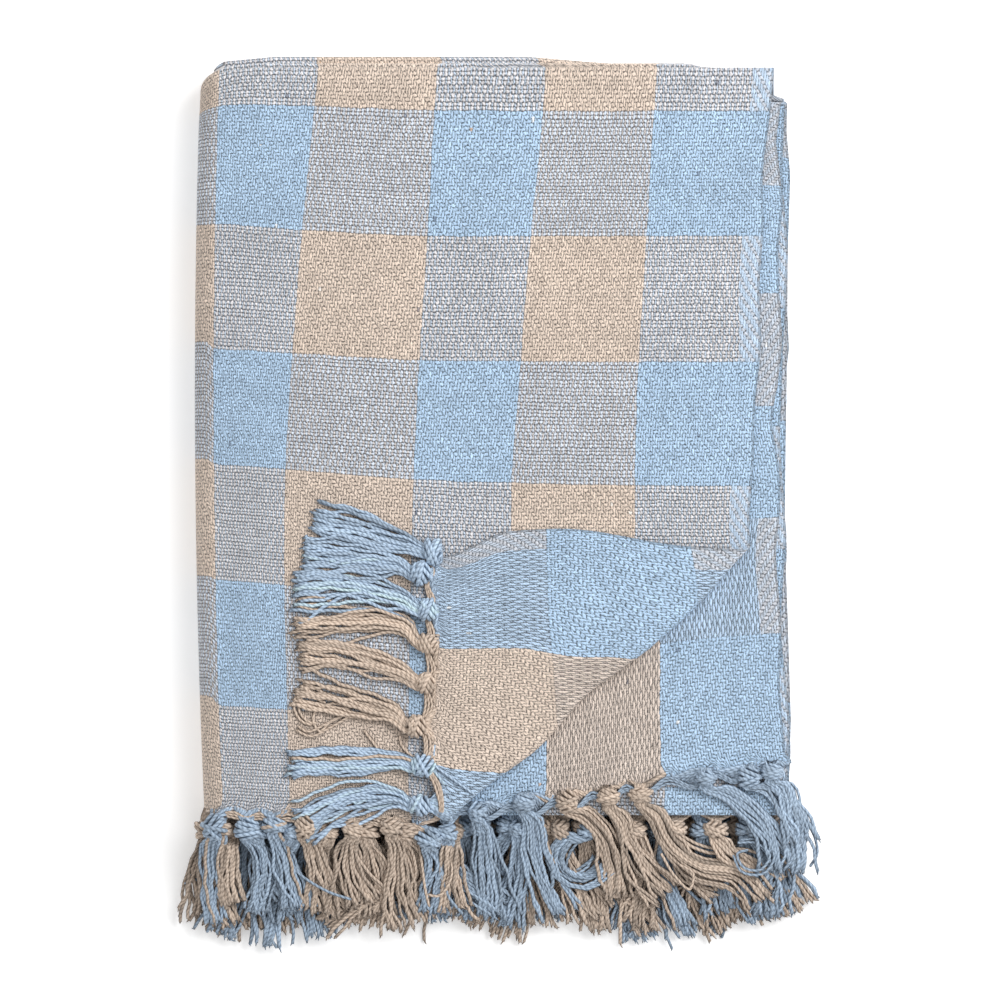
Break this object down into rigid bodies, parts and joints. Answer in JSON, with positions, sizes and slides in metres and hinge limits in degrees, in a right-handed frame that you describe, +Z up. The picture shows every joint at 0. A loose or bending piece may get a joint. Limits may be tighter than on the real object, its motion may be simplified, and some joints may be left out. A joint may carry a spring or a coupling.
{
  "type": "folded checked throw blanket",
  "caption": "Woven checked cotton throw, folded flat into a rectangular stack, with knotted fringe along one side and one top corner turned back.",
  "frame": {"origin": "on the flat underside of the bottom layer, near the middle of the folded stack", "axes": "+Z up from the surface it lies on; -Y towards the fringed hems; -X towards the closed side folds"},
  "size_m": [0.3463, 0.4988, 0.0412],
  "materials": {
    "checked_cotton": "coarse matte woven cotton in pale blue and beige",
    "fringe_yarn": "matte two-ply cotton yarn in pale blue and beige"
  },
  "bodies": {
    "root": {"throw_cloth": "checked_cotton", "fringe_flap": "fringe_yarn", "fringe_layer_01": "fringe_yarn", "fringe_layer_02": "fringe_yarn", "fringe_layer_07": "fringe_yarn", "fringe_layer_08": "fringe_yarn", "fringe_layer_09": "fringe_yarn", "fringe_layer_10": "fringe_yarn", "fringe_layer_15": "fringe_yarn", "fringe_layer_16": "fringe_yarn"}
  },
  "joints": []
}
